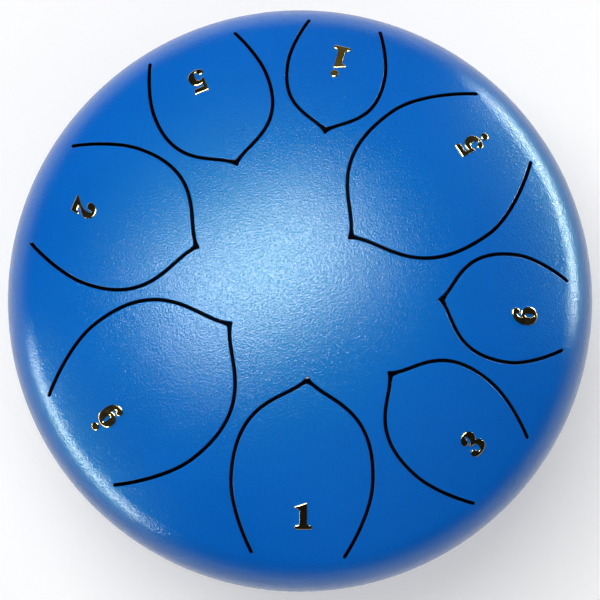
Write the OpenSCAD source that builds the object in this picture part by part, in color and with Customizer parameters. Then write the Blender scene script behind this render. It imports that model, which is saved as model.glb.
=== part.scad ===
// Steel tongue drum, eight notes, two pressed half shells with leaf-shaped tongues.
// The origin is at the middle of the footprint on the table, +Z is up and -Y is the front.
// Both half shells share one profile: a shallow crown, a tighter knuckle and a straight skirt.

/* [Shell] */
// Outside diameter of the drum
shell_d = 152; // [142:1:190]
// Radius of the shallow crown of each half, outside
crown_r = 150; // [120:1:220]
// Radius of the rounded shoulder, outside
knuckle_r = 15; // [10:0.5:20]
// Height of the straight skirt below the shoulder
skirt_h = 6; // [3:0.5:12]
// Thickness of the steel sheet
sheet_t = 1.5; // [1:0.1:2.2]
// Height of the lowest point of the bottom dome over the table
stand_h = 5; // [4:0.5:9]
// Diameter of the sound hole in the bottom dome
sound_hole_d = 36; // [20:1:48]

/* [Seam] */
// Gap between the rims of the two half shells, filled by the weld
weld_gap = 1.6; // [1:0.1:2.4]
// How far the weld bead stands out past the skirt
bead_h = 0.15; // [0.05:0.05:0.4]

/* [Tongues] */
// Width of the cut that frees each tongue
kerf_w = 0.9; // [0.5:0.05:1.4]
// Radius that rounds the point of each tongue
tip_r = 0.8; // [0.4:0.1:1.2]

/* [Numerals] */
// Height of the metal numerals
digit_h = 7; // [5:0.25:8]
// Thickness of the numerals and their dots
digit_t = 0.4; // [0.2:0.05:0.8]
// Diameter of an octave dot
dot_d = 2; // [1.2:0.1:2.4]

/* [Feet] */
// Radius of the circle that the feet stand on, measured on the dome
foot_circle_r = 40; // [34:0.5:44]
// Diameter of a rubber foot where it meets the dome
foot_top_d = 17; // [14:0.5:20]
// Diameter that a rubber foot tapers to
foot_end_d = 14; // [12:0.5:16]
// Rubber left between the dome and the screw recess
foot_web = 4; // [3:0.25:5]
// Diameter of the recess that hides the screw head
recess_d = 8.8; // [8.4:0.1:10]

/* [Fasteners] */
// Thread diameter of the foot screws
screw_d = 3.9; // [3:0.1:4.1]
// Diameter of the screw head
head_d = 7; // [6:0.1:8]
// Height of the screw head
head_h = 2.4; // [1.8:0.1:3]
// Outside diameter of the washers
washer_d = 8; // [7:0.1:8.2]
// Thickness of the washers
washer_t = 0.8; // [0.5:0.1:1.2]
// Width across the flats of the nuts
nut_af = 7; // [6.5:0.1:8]
// Height of the nuts
nut_h = 3.2; // [2:0.1:4]

/* [Hidden] */
$fn = 180;

blue = [0.02, 0.36, 0.78];
weld_blue = [0.02, 0.30, 0.68];
gold = [0.72, 0.58, 0.28];
rubber = [0.09, 0.09, 0.1];
steel = [0.72, 0.73, 0.75];

// clearances and allowances
overrun = 1;
root_gap = 0.03;
rim_gap = 0.02;
seat_gap = 0.05;
label_gap = 0.03;
hole_clear = 0.3;
thread_clear = 0.03;
thread_past = 1;

// shell profile, worked out from the driving sizes
shell_r = shell_d / 2;
knuckle_x = shell_r - knuckle_r;
crown_drop = sqrt(pow(crown_r - knuckle_r, 2) - pow(knuckle_x, 2));
crown_z = skirt_h - crown_drop;
dome_h = crown_z + crown_r;
slope = asin(knuckle_x / (crown_r - knuckle_r));
seam_z = stand_h + dome_h + weld_gap / 2;
drum_h = seam_z + weld_gap / 2 + dome_h;
bead_r = (pow(bead_h, 2) + pow(weld_gap / 2, 2)) / (2 * bead_h);

// Tongues, one row each: distance of the tip from the middle, direction of the tip,
// direction of the tongue's axis, length, greatest half width and half width at the root.
// Lengths are shares of the drum's radius and directions are degrees from +X.
tongue_shares = [
    [0.226, 43.8, 37.4, 0.660, 0.261, 0.149],
    [0.259, -151.0, -143.5, 0.621, 0.276, 0.187],
    [0.306, -85.5, -93.1, 0.570, 0.233, 0.155],
    [0.360, 159.2, 157.8, 0.539, 0.243, 0.180],
    [0.408, -44.4, -39.7, 0.487, 0.198, 0.142],
    [0.458, 117.2, 110.1, 0.453, 0.201, 0.154],
    [0.462, -5.3, -4.9, 0.426, 0.180, 0.118],
    [0.525, 80.9, 80.1, 0.400, 0.165, 0.123]
];

// The leaf outline that all tongues share, as pulls of its two curves per side:
// tip to widest place, then widest place to root.
widest_share = 0.584;
tip_pull_shares = [0.222, 0.229];
swell_pull_share = 0.19;
back_pull_share = 0.351;
root_pull_shares = [0.184, 0.334];
front_steps = 14;
back_steps = 8;
round_steps = 6;

// Numerals, one row each: distance from the middle, direction, extra turn, digit,
// distance and direction of the octave dot, with a zero distance for no dot.
label_shares = [
    [0.745, 40.2, -8, 3, 0.808, 40.0],
    [0.752, -146.5, 3, 4, 0.814, -146.3],
    [0.749, -89.2, -1, 0, 0, 0],
    [0.769, 159.0, -2, 1, 0, 0],
    [0.764, -41.6, 0, 2, 0, 0],
    [0.784, 115.6, -4, 3, 0, 0],
    [0.750, -6.8, 3, 4, 0, 0],
    [0.800, 80.3, -4, 0, 0.738, 81.0]
];

// Digit outlines as shares of the digit height, each a start point and then its pieces:
// two numbers are a straight line's end, six are the two pulls and the end of a curve.
digit_1_shares = [[-0.29, 0], [0.30, 0], [0.30, 0.14],
    [0.20, 0.15, 0.135, 0.16, 0.135, 0.23], [0.135, 1.00], [0.10, 1.00],
    [-0.04, 0.95, -0.17, 0.89, -0.30, 0.87], [-0.30, 0.82],
    [-0.22, 0.77, -0.125, 0.78, -0.125, 0.68], [-0.125, 0.23],
    [-0.125, 0.16, -0.19, 0.15, -0.29, 0.14]];
digit_2_shares = [[-0.25, 0.68],
    [-0.25, 0.88, -0.10, 1.00, 0.06, 1.00], [0.22, 1.00, 0.34, 0.88, 0.34, 0.70],
    [0.34, 0.50, 0.10, 0.38, -0.02, 0.24], [0.13, 0.24],
    [0.19, 0.24, 0.23, 0.28, 0.24, 0.36], [0.31, 0.36], [0.24, 0], [-0.35, 0],
    [-0.35, 0.06], [-0.15, 0.25, 0.05, 0.40, 0.08, 0.60],
    [0.10, 0.72, 0.11, 0.84, 0.06, 0.84], [0.02, 0.84, 0.02, 0.76, 0.02, 0.70],
    [0.02, 0.62, -0.05, 0.57, -0.12, 0.57], [-0.19, 0.57, -0.25, 0.61, -0.25, 0.68]];
digit_3_shares = [[-0.34, 0.74],
    [-0.34, 0.90, -0.20, 1.00, -0.03, 1.00], [0.13, 1.00, 0.24, 0.91, 0.24, 0.77],
    [0.24, 0.66, 0.20, 0.58, 0.13, 0.53], [0.23, 0.48, 0.30, 0.40, 0.30, 0.27],
    [0.30, 0.10, 0.15, 0, -0.06, 0], [-0.24, 0, -0.37, 0.08, -0.37, 0.21],
    [-0.37, 0.29, -0.31, 0.33, -0.25, 0.33], [-0.18, 0.33, -0.13, 0.28, -0.13, 0.22],
    [-0.13, 0.16, -0.10, 0.12, -0.05, 0.12], [0.02, 0.12, 0.06, 0.20, 0.06, 0.28],
    [0.06, 0.38, 0, 0.45, -0.12, 0.46], [-0.17, 0.46], [-0.17, 0.54],
    [-0.06, 0.55, -0.01, 0.62, -0.01, 0.72],
    [-0.01, 0.82, -0.03, 0.88, -0.07, 0.88], [-0.10, 0.88, -0.10, 0.82, -0.10, 0.76],
    [-0.10, 0.67, -0.16, 0.62, -0.22, 0.62], [-0.29, 0.62, -0.34, 0.67, -0.34, 0.74]];
digit_5_shares = [[-0.21, 1.00], [0.32, 1.00], [0.27, 0.79], [-0.08, 0.79], [-0.08, 0.64],
    [0.04, 0.70, 0.35, 0.68, 0.36, 0.33], [0.36, 0.12, 0.18, 0, -0.02, 0],
    [-0.16, 0, -0.26, 0.05, -0.26, 0.15], [-0.26, 0.22, -0.21, 0.26, -0.15, 0.26],
    [-0.08, 0.26, -0.05, 0.21, -0.04, 0.16], [-0.03, 0.11, 0, 0.10, 0.03, 0.11],
    [0.09, 0.13, 0.10, 0.22, 0.10, 0.30], [0.10, 0.44, 0.02, 0.50, -0.06, 0.48],
    [-0.10, 0.47, -0.12, 0.45, -0.13, 0.42], [-0.21, 0.42]];
digit_6_shares = [[0.27, 0.88],
    [0.27, 0.96, 0.18, 1.00, 0.09, 1.00], [-0.14, 1.00, -0.31, 0.76, -0.31, 0.42],
    [-0.31, 0.14, -0.17, 0, 0.02, 0], [0.21, 0, 0.35, 0.13, 0.35, 0.34],
    [0.35, 0.54, 0.24, 0.65, 0.09, 0.65], [0.02, 0.65, -0.03, 0.63, -0.06, 0.60],
    [-0.05, 0.68, -0.02, 0.76, 0.02, 0.80], [0.05, 0.83, 0.07, 0.81, 0.07, 0.78],
    [0.08, 0.74, 0.12, 0.72, 0.16, 0.72], [0.23, 0.72, 0.27, 0.78, 0.27, 0.88]];
eye_6_shares = [[0.04, 0.50], [0.09, 0.50, 0.10, 0.44, 0.10, 0.32],
    [0.10, 0.20, 0.09, 0.13, 0.04, 0.13], [-0.01, 0.13, -0.02, 0.20, -0.02, 0.32],
    [-0.02, 0.44, -0.01, 0.50, 0.04, 0.50]];
digit_shares = [digit_1_shares, digit_2_shares, digit_3_shares,
                digit_5_shares, digit_6_shares];
digit_steps = 5;

// feet and fasteners, measured outward from the dome along each foot's own axis
foot_tilt = asin(foot_circle_r / crown_r);
foot_l = (stand_h + crown_r) / cos(foot_tilt) - crown_r - foot_end_d / 2 * tan(foot_tilt);
foot_flange = foot_web / 2;
foot_dirs = [-90, 150, 30];
washer_z = foot_web + seat_gap;
head_z = washer_z + washer_t + seat_gap;
nut_corner_r = nut_af / 2 / cos(30);
nut_z = crown_r - sqrt(pow(crown_r - sheet_t, 2) - pow(nut_corner_r, 2)) + seat_gap;
shank_in = nut_z + nut_h + thread_past;
head_round_r = (pow(head_h, 2) + pow(head_d / 2, 2)) / (2 * head_h) * 1.25;

// cubic curve through q[0] and q[3], pulled towards q[1] and q[2]
function curve(t, q) = pow(1 - t, 3) * q[0] + 3 * pow(1 - t, 2) * t * q[1]
    + 3 * (1 - t) * t * t * q[2] + pow(t, 3) * q[3];
function heading(t, q) = 3 * pow(1 - t, 2) * (q[1] - q[0])
    + 6 * (1 - t) * t * (q[2] - q[1]) + 3 * t * t * (q[3] - q[2]);
// a point beside the curve, off to its left
function beside(t, q, off) = let (v = heading(t, q) / norm(heading(t, q)))
    curve(t, q) + off * [-v[1], v[0]];
function flip(points) = [for (i = [len(points) - 1 : -1 : 0]) [points[i][0], -points[i][1]]];
function bearing(v) = atan2(v[1], v[0]);

// sizes of tongue i
function tongue_l(i) = tongue_shares[i][3] * shell_r;
function half_w(i) = tongue_shares[i][4] * shell_r;
function root_w(i) = tongue_shares[i][5] * shell_r;
function widest_x(i) = widest_share * tongue_l(i);
function front_curve(i) = [[0, 0],
    [tip_pull_shares[0] * widest_x(i), tip_pull_shares[1] * half_w(i)],
    [swell_pull_share * widest_x(i), half_w(i)], [widest_x(i), half_w(i)]];
function back_curve(i) = let (run = tongue_l(i) - widest_x(i)) [[widest_x(i), half_w(i)],
    [widest_x(i) + back_pull_share * run, half_w(i)],
    [tongue_l(i) - root_pull_shares[0] * run,
     root_w(i) + root_pull_shares[1] * (half_w(i) - root_w(i))],
    [tongue_l(i), root_w(i)]];
function side_points(i, off) = concat(
    [for (k = [0 : front_steps - 1]) beside(k / front_steps, front_curve(i), off)],
    [for (k = [0 : back_steps]) beside(k / back_steps, back_curve(i), off)]);

// the opening in the shell: the outer edge of the cut, its round ends and the root line
function opening_points(i) = let (
        point_angle = bearing(heading(0, front_curve(i))),
        end_angle = bearing(heading(1, back_curve(i))),
        cut_end = [tongue_l(i), root_w(i)],
        upper = concat(side_points(i, kerf_w / 2),
            [for (k = [1 : round_steps - 1]) let (a = end_angle + 90 - 180 * k / round_steps)
                cut_end + kerf_w / 2 * [cos(a), sin(a)]],
            [beside(1, back_curve(i), -kerf_w / 2) + [root_gap, 0]]))
    concat([[-kerf_w / 2 / sin(point_angle), 0]], upper, flip(upper));

// the tongue itself: the inner edge of the cut, with its point rounded
function tongue_points(i) = let (
        point_angle = bearing(heading(0, front_curve(i))),
        point_x = (kerf_w / 2 + tip_r) / sin(point_angle),
        touch = [point_x, 0] + tip_r * [cos(90 + point_angle), sin(90 + point_angle)],
        upper = concat(
            [for (k = [1 : round_steps]) let (a = 180 - (90 - point_angle) * k / round_steps)
                [point_x, 0] + tip_r * [cos(a), sin(a)]],
            [for (p = side_points(i, -kerf_w / 2)) if (p[0] > touch[0] && p[1] > touch[1]) p]))
    concat([[point_x - tip_r, 0]], upper, flip(upper));

// points of a digit outline, piece by piece
function outline_points(pieces, k = 0, from = [0, 0]) = k == len(pieces) ? []
    : let (s = pieces[k], n = len(s), end = [s[n - 2], s[n - 1]])
      concat(n == 2 ? [s] : [for (j = [1 : digit_steps])
          curve(j / digit_steps, [from, [s[0], s[1]], [s[2], s[3]], end])],
      outline_points(pieces, k + 1, end));

// a wedge between two angles from the vertical
module wedge(r, from_a, to_a) {
    polygon([[0, 0], [2 * r * sin(from_a), 2 * r * cos(from_a)],
             [2 * r * sin(to_a), 2 * r * cos(to_a)]]);
}

// half the section of a dome on its rim, filled, drawn in from the outside by a depth
module dome_section(depth) {
    difference() {
        intersection() {
            translate([0, crown_z]) circle(crown_r - depth);
            square([shell_r - depth, dome_h]);
        }
        translate([knuckle_x, skirt_h]) difference() {
            wedge(knuckle_r, slope, 90);
            circle(knuckle_r - depth);
        }
    }
}

// one half shell standing on its rim, before any tongue or hole is cut
module half_shell() {
    rotate_extrude() difference() {
        dome_section(0);
        dome_section(sheet_t);
    }
}

module upper_blank() {
    translate([0, 0, seam_z + weld_gap / 2]) half_shell();
}

module lower_blank() {
    translate([0, 0, seam_z - weld_gap / 2]) mirror([0, 0, 1]) half_shell();
}

// an upright prism that stands at tongue i
module at_tongue(i) {
    s = tongue_shares[i];
    translate([s[0] * shell_r * cos(s[1]), s[0] * shell_r * sin(s[1]), seam_z + weld_gap / 2])
        rotate([0, 0, s[2]])
            linear_extrude(dome_h + overrun) children();
}

module upper_shell() {
    color(blue) difference() {
        upper_blank();
        for (i = [0 : len(tongue_shares) - 1]) at_tongue(i) polygon(opening_points(i));
    }
}

module tongue(i) {
    color(blue) intersection() {
        upper_blank();
        at_tongue(i) polygon(tongue_points(i));
    }
}

module lower_shell() {
    color(blue) difference() {
        lower_blank();
        translate([0, 0, -overrun]) cylinder(d = sound_hole_d, h = seam_z);
        for (dir = foot_dirs) at_foot(dir)
            translate([0, 0, -sheet_t - overrun])
                cylinder(d = screw_d + hole_clear, h = sheet_t + 2 * overrun);
    }
}

// the weld between the rims, with a low bead outside
module seam_weld() {
    color(weld_blue) translate([0, 0, seam_z]) rotate_extrude() {
        translate([shell_r - sheet_t, -weld_gap / 2 + rim_gap])
            square([sheet_t, weld_gap - 2 * rim_gap]);
        intersection() {
            translate([shell_r + bead_h - bead_r, 0]) circle(bead_r);
            translate([shell_r - sheet_t / 2, -weld_gap / 2 + rim_gap])
                square([sheet_t, weld_gap - 2 * rim_gap]);
        }
    }
}

// places a numeral or dot flat on the crown, its top towards the middle of the drum
module on_crown(r, dir, turn) {
    translate([0, 0, drum_h - crown_r]) rotate([0, 0, dir]) rotate([0, asin(r / crown_r), 0])
        translate([0, 0, crown_r + label_gap]) rotate([0, 0, 90 + turn]) children();
}

module digit(k) {
    linear_extrude(digit_t) translate([0, -digit_h / 2]) difference() {
        polygon(digit_h * outline_points(digit_shares[k]));
        if (k == len(digit_shares) - 1) polygon(digit_h * outline_points(eye_6_shares));
    }
}

module label(i) {
    s = label_shares[i];
    color(gold) {
        on_crown(s[0] * shell_r, s[1], s[2]) digit(s[3]);
        if (s[4] > 0) on_crown(s[4] * shell_r, s[5], 0) cylinder(d = dot_d, h = digit_t);
    }
}

// a foot's own frame: the origin on the dome's outside, +Z straight out of the dome
module at_foot(dir) {
    translate([0, 0, stand_h + crown_r]) rotate([0, 0, dir]) rotate([0, 180 - foot_tilt, 0])
        translate([0, 0, crown_r]) children();
}

module foot(dir) {
    below = foot_l + foot_top_d;
    color(rubber) difference() {
        at_foot(dir) difference() {
            union() {
                translate([0, 0, -foot_web]) cylinder(d = foot_top_d, h = foot_web + foot_flange);
                translate([0, 0, foot_flange])
                    cylinder(d1 = foot_top_d, d2 = foot_end_d, h = foot_l - foot_flange);
                translate([0, 0, foot_l]) cylinder(d = foot_end_d, h = foot_end_d);
            }
            translate([0, 0, -crown_r]) sphere(crown_r + seat_gap);
            translate([0, 0, foot_web]) cylinder(d = recess_d, h = below);
            translate([0, 0, -below]) cylinder(d = screw_d + hole_clear, h = 2 * below);
        }
        translate([-shell_r, -shell_r, -below]) cube([shell_d, shell_d, below]);
    }
}

module foot_screws() {
    color(steel) for (dir = foot_dirs) at_foot(dir) {
        translate([0, 0, -shank_in]) cylinder(d = screw_d, h = shank_in + head_z);
        intersection() {
            translate([0, 0, head_z]) cylinder(d = head_d, h = head_h);
            translate([0, 0, head_z + head_h - head_round_r]) sphere(head_round_r);
        }
    }
}

module foot_washers() {
    color(steel) for (dir = foot_dirs) at_foot(dir) translate([0, 0, washer_z]) difference() {
        cylinder(d = washer_d, h = washer_t);
        translate([0, 0, -overrun]) cylinder(d = screw_d + hole_clear, h = washer_t + 2 * overrun);
    }
}

module foot_nuts() {
    color(steel) for (dir = foot_dirs) at_foot(dir) translate([0, 0, -nut_z - nut_h])
        difference() {
            cylinder(r = nut_corner_r, h = nut_h, $fn = 6);
            translate([0, 0, -overrun])
                cylinder(d = screw_d + 2 * thread_clear, h = nut_h + 2 * overrun);
        }
}

upper_shell();
lower_shell();
seam_weld();
tongue(0);  // tongue_low_5
tongue(1);  // tongue_low_6
tongue(2);  // tongue_1
tongue(3);  // tongue_2
tongue(4);  // tongue_3
tongue(5);  // tongue_5
tongue(6);  // tongue_6
tongue(7);  // tongue_high_1
label(0);  // label_low_5
label(1);  // label_low_6
label(2);  // label_1
label(3);  // label_2
label(4);  // label_3
label(5);  // label_5
label(6);  // label_6
label(7);  // label_high_1
foot(foot_dirs[0]);  // foot_front
foot(foot_dirs[1]);  // foot_left
foot(foot_dirs[2]);  // foot_right
foot_screws();
foot_washers();
foot_nuts();
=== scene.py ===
"""A steel tongue drum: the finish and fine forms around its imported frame."""

import math
import random

import bmesh
import bpy
import numpy as np
from mathutils import Matrix, Vector
from mathutils.geometry import delaunay_2d_cdt


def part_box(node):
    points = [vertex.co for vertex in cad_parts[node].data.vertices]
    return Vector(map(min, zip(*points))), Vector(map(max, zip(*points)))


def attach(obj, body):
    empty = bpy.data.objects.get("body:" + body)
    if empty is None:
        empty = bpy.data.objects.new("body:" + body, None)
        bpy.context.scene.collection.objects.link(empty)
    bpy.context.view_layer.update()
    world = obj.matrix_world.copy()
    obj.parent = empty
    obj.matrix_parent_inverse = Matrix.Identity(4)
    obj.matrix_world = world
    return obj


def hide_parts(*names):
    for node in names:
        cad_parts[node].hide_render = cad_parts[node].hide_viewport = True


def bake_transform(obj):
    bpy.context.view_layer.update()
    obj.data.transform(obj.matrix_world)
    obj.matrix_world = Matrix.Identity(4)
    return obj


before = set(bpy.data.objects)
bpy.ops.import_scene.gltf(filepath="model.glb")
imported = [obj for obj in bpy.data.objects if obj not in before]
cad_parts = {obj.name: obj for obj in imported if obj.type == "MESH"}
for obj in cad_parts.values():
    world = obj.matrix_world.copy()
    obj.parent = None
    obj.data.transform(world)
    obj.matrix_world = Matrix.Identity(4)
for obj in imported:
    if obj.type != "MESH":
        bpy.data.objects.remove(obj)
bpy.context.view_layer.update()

# Lengths are in millimetres until a mesh is made.
MM = 0.001
TINY = 1e-9
MERGE_GAP = 1e-7

# The drum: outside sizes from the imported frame, then the section of a half shell, whose
# knuckle is the round shoulder between the crown and the skirt
SHELL_R = round(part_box("upper_shell")[1].x / MM, 2)
RIM_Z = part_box("upper_shell")[0].z / MM
SEAM_Z = (RIM_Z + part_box("lower_shell")[1].z / MM) / 2
DRUM_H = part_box("upper_shell")[1].z / MM
CROWN_R = 150.0
KNUCKLE_R = 15.0
SKIRT_H = 6.0
SHEET_T = 1.5
STAND_H = 5.0
KNUCKLE_X = SHELL_R - KNUCKLE_R
CROWN_Z = SKIRT_H - math.sqrt((CROWN_R - KNUCKLE_R) ** 2 - KNUCKLE_X ** 2)
SLOPE = math.asin(KNUCKLE_X / (CROWN_R - KNUCKLE_R))

# Cuts and holes
SOUND_HOLE_R = 18.0
SCREW_HOLE_R = 2.1
KERF_W = 0.9
TIP_R = 0.8
CORNER_R = 0.35
CUT_EDGE_R = 0.12
HOLE_EDGE_R = 0.4

# Points of the shells' and tongues' meshes: the rings of the rim start at FILL_R
FILL_R = 72.2
BEND_ROWS = (67.8, 68.9, 70.0, 71.0)
RING_STEPS = 360
KNUCKLE_STEPS = 10
SKIRT_STEPS = 3
SOUND_HOLE_STEPS = 120
SCREW_HOLE_STEPS = 24
EDGE_TURNS = (0, 45, 90)
SKIN_SPACING = 2.2
TONGUE_SPACING = 2.0
ROOT_SPACING = 1.2
LOOP_CLEAR_SHARE = 0.5
ROW_CLEAR_SHARE = 0.4

# Tongues: distance and direction of the tip, direction of the axis, length, greatest
# half width and half width at the root, as shares of the drum's radius and degrees.
TONGUES = {
    "low_5": (0.226, 43.8, 37.4, 0.660, 0.261, 0.149),
    "low_6": (0.259, -151.0, -143.5, 0.621, 0.276, 0.187),
    "1": (0.306, -85.5, -93.1, 0.570, 0.233, 0.155),
    "2": (0.360, 159.2, 157.8, 0.539, 0.243, 0.180),
    "3": (0.408, -44.4, -39.7, 0.487, 0.198, 0.142),
    "5": (0.458, 117.2, 110.1, 0.453, 0.201, 0.154),
    "6": (0.462, -5.3, -4.9, 0.426, 0.180, 0.118),
    "high_1": (0.525, 80.9, 80.1, 0.400, 0.165, 0.123),
}
# where a leaf is widest along its length, and how far the pulls of its curves reach
WIDEST_SHARE = 0.584
TIP_PULL_SHARES = (0.222, 0.229)
SWELL_PULL_SHARE = 0.19
BACK_PULL_SHARE = 0.351
ROOT_PULL_SHARES = (0.184, 0.334)
FRONT_STEPS = 34
BACK_STEPS = 20
TIP_STEPS = 6
END_STEPS = 10

# Numerals: distance, direction and extra turn of the digit, then the octave dot's place,
# in the same shares and degrees.
LABELS = {
    "low_5": ("5", 0.745, 40.2, -8, (0.808, 40.0)),
    "low_6": ("6", 0.752, -146.5, 3, (0.814, -146.3)),
    "1": ("1", 0.749, -89.2, -1, None),
    "2": ("2", 0.769, 159.0, -2, None),
    "3": ("3", 0.764, -41.6, 0, None),
    "5": ("5", 0.784, 115.6, -4, None),
    "6": ("6", 0.750, -6.8, 3, None),
    "high_1": ("1", 0.800, 80.3, -4, (0.738, 81.0)),
}
# Digit outlines as shares of the digit's height: a start point, then lines' ends and
# curves' pulls and ends. A second outline is a hole.
DIGITS = {
    "1": [[(-0.29, 0), (0.30, 0), (0.30, 0.14),
           (0.20, 0.15, 0.135, 0.16, 0.135, 0.23), (0.135, 1.00), (0.10, 1.00),
           (-0.04, 0.95, -0.17, 0.89, -0.30, 0.87), (-0.30, 0.82),
           (-0.22, 0.77, -0.125, 0.78, -0.125, 0.68), (-0.125, 0.23),
           (-0.125, 0.16, -0.19, 0.15, -0.29, 0.14)]],
    "2": [[(-0.25, 0.68),
           (-0.25, 0.88, -0.10, 1.00, 0.06, 1.00), (0.22, 1.00, 0.34, 0.88, 0.34, 0.70),
           (0.34, 0.50, 0.10, 0.38, -0.02, 0.24), (0.13, 0.24),
           (0.19, 0.24, 0.23, 0.28, 0.24, 0.36), (0.31, 0.36), (0.24, 0), (-0.35, 0),
           (-0.35, 0.06), (-0.15, 0.25, 0.05, 0.40, 0.08, 0.60),
           (0.10, 0.72, 0.11, 0.84, 0.06, 0.84), (0.02, 0.84, 0.02, 0.76, 0.02, 0.70),
           (0.02, 0.62, -0.05, 0.57, -0.12, 0.57), (-0.19, 0.57, -0.25, 0.61, -0.25, 0.68)]],
    "3": [[(-0.34, 0.74),
           (-0.34, 0.90, -0.20, 1.00, -0.03, 1.00), (0.13, 1.00, 0.24, 0.91, 0.24, 0.77),
           (0.24, 0.66, 0.20, 0.58, 0.13, 0.53), (0.23, 0.48, 0.30, 0.40, 0.30, 0.27),
           (0.30, 0.10, 0.15, 0, -0.06, 0), (-0.24, 0, -0.37, 0.08, -0.37, 0.21),
           (-0.37, 0.29, -0.31, 0.33, -0.25, 0.33), (-0.18, 0.33, -0.13, 0.28, -0.13, 0.22),
           (-0.13, 0.16, -0.10, 0.12, -0.05, 0.12), (0.02, 0.12, 0.06, 0.20, 0.06, 0.28),
           (0.06, 0.38, 0, 0.45, -0.12, 0.46), (-0.17, 0.46), (-0.17, 0.54),
           (-0.06, 0.55, -0.01, 0.62, -0.01, 0.72),
           (-0.01, 0.82, -0.03, 0.88, -0.07, 0.88), (-0.10, 0.88, -0.10, 0.82, -0.10, 0.76),
           (-0.10, 0.67, -0.16, 0.62, -0.22, 0.62), (-0.29, 0.62, -0.34, 0.67, -0.34, 0.74)]],
    "5": [[(-0.21, 1.00), (0.32, 1.00), (0.27, 0.79), (-0.08, 0.79), (-0.08, 0.64),
           (0.04, 0.70, 0.35, 0.68, 0.36, 0.33), (0.36, 0.12, 0.18, 0, -0.02, 0),
           (-0.16, 0, -0.26, 0.05, -0.26, 0.15), (-0.26, 0.22, -0.21, 0.26, -0.15, 0.26),
           (-0.08, 0.26, -0.05, 0.21, -0.04, 0.16), (-0.03, 0.11, 0, 0.10, 0.03, 0.11),
           (0.09, 0.13, 0.10, 0.22, 0.10, 0.30), (0.10, 0.44, 0.02, 0.50, -0.06, 0.48),
           (-0.10, 0.47, -0.12, 0.45, -0.13, 0.42), (-0.21, 0.42)]],
    "6": [[(0.27, 0.88),
           (0.27, 0.96, 0.18, 1.00, 0.09, 1.00), (-0.14, 1.00, -0.31, 0.76, -0.31, 0.42),
           (-0.31, 0.14, -0.17, 0, 0.02, 0), (0.21, 0, 0.35, 0.13, 0.35, 0.34),
           (0.35, 0.54, 0.24, 0.65, 0.09, 0.65), (0.02, 0.65, -0.03, 0.63, -0.06, 0.60),
           (-0.05, 0.68, -0.02, 0.76, 0.02, 0.80), (0.05, 0.83, 0.07, 0.81, 0.07, 0.78),
           (0.08, 0.74, 0.12, 0.72, 0.16, 0.72), (0.23, 0.72, 0.27, 0.78, 0.27, 0.88)],
          [(0.04, 0.50), (0.09, 0.50, 0.10, 0.44, 0.10, 0.32),
           (0.10, 0.20, 0.09, 0.13, 0.04, 0.13), (-0.01, 0.13, -0.02, 0.20, -0.02, 0.32),
           (-0.02, 0.44, -0.01, 0.50, 0.04, 0.50)]],
}
DIGIT_H = 7.0
DIGIT_T = 0.4
DOT_R = 1.0
DOT_STEPS = 40
LABEL_GAP = 0.03
OUTLINE_STEP = 0.16
FEWEST_CURVE_STEPS = 3
# A numeral is a plate: a wall, then a slope that eases into a flat face.
PLATE_WALL = 0.34
PLATE_SLOPE_W = 0.13
PLATE_EASE = 0.2
PLATE_SINK = 0.05
# rows of points, this far in from the outline, and the grid inside them
PLATE_RINGS = (0.02, 0.05, 0.08, 0.11, 0.15, 0.22)
RING_SLACK_SHARE = 0.97
PLATE_GRID = 0.3
SLOPE_PROBE = 0.01

# The weld between the rims: a bead whose ripples bow and drift
WELD_CLEAR = 0.02
BEAD_H = 0.14
BEAD_HALF_W = 1.3
BEAD_SINK = 0.03
BEAD_SPAN_SHARE = 0.94
BEAD_FULLNESS = 0.7
BEAD_RIPPLES = 170
RIPPLE_H = 0.05
RIPPLE_BOW = 1.6
RIPPLE_DRIFT = 0.35
DRIFT_WAVES = (5, 11, 23)
DRIFT_PHASE = 6.3
BEAD_STEPS = 1440
BEAD_ROWS = 9

# Feet, in a frame whose +Z runs straight out of the bottom dome
FOOT_CIRCLE_R = 40.0
FOOT_DIRS = {"front": -90, "left": 150, "right": 30}
FOOT_TILT = math.asin(FOOT_CIRCLE_R / CROWN_R)
FOOT_TOP_R = 8.5
FOOT_END_R = 7.0
SEAT_ROW_R = 5.0
SEAT_GAP = 0.05
SEAT_EDGE_R = 0.4
FOOT_WEB = 4.0
FLANGE_EDGE_R = 0.35
FOOT_LIP = 0.3
# two rows under the flange's lip, in from it and down, and one above the rounded end
NECK_ROWS = ((0.1, 0.05), (0.15, 0.3))
TAPER_OUT = 0.15
TAPER_UP = 2.2
FOOT_EDGE_R = 0.7
RECESS_R = 4.4
RECESS_EDGE_R = 0.4
RECESS_FILLET = 0.3
FOOT_STEPS = 96

# Screws, in the same frame
SCREW_R = 1.95
SCREW_POINT_R = 1.45
SHANK_IN = 5.8
THREAD_DEPTH = 0.18
THREAD_PITCH = 0.7
THREAD_CREST = 1.5
THREAD_RUNOUT = 0.4
THREAD_ROWS = 6
WASHER_T = 0.8
HEAD_Z = FOOT_WEB + SEAT_GAP + WASHER_T + SEAT_GAP
HEAD_R = 3.5
HEAD_H = 2.4
HEAD_CHAMFER = 0.12
HEAD_FLATNESS = 1.25
HEAD_ROUND_R = (HEAD_H ** 2 + HEAD_R ** 2) / (2 * HEAD_H) * HEAD_FLATNESS
# rows over the head: in from its edge and down from its dome
HEAD_ROWS = ((0, 0.15), (0.05, 0.02), (0.2, 0), (0.5, 0), (0.9, 0), (1.3, 0))
CROSS_REACH = 1.55
CROSS_HALF_W = 0.38
CROSS_DEPTH = 1.1
CROSS_TAPER_SHARE = 0.8
PIT_SHARE = 0.72
SCREW_STEPS = 48

# Sharp edges start at these angles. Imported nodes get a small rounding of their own.
SHARP_ANGLE = 40
SCREW_SHARP_ANGLE = 35
NUT_EDGE_R = 0.12
NUT_EDGE_STEPS = 2

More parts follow.
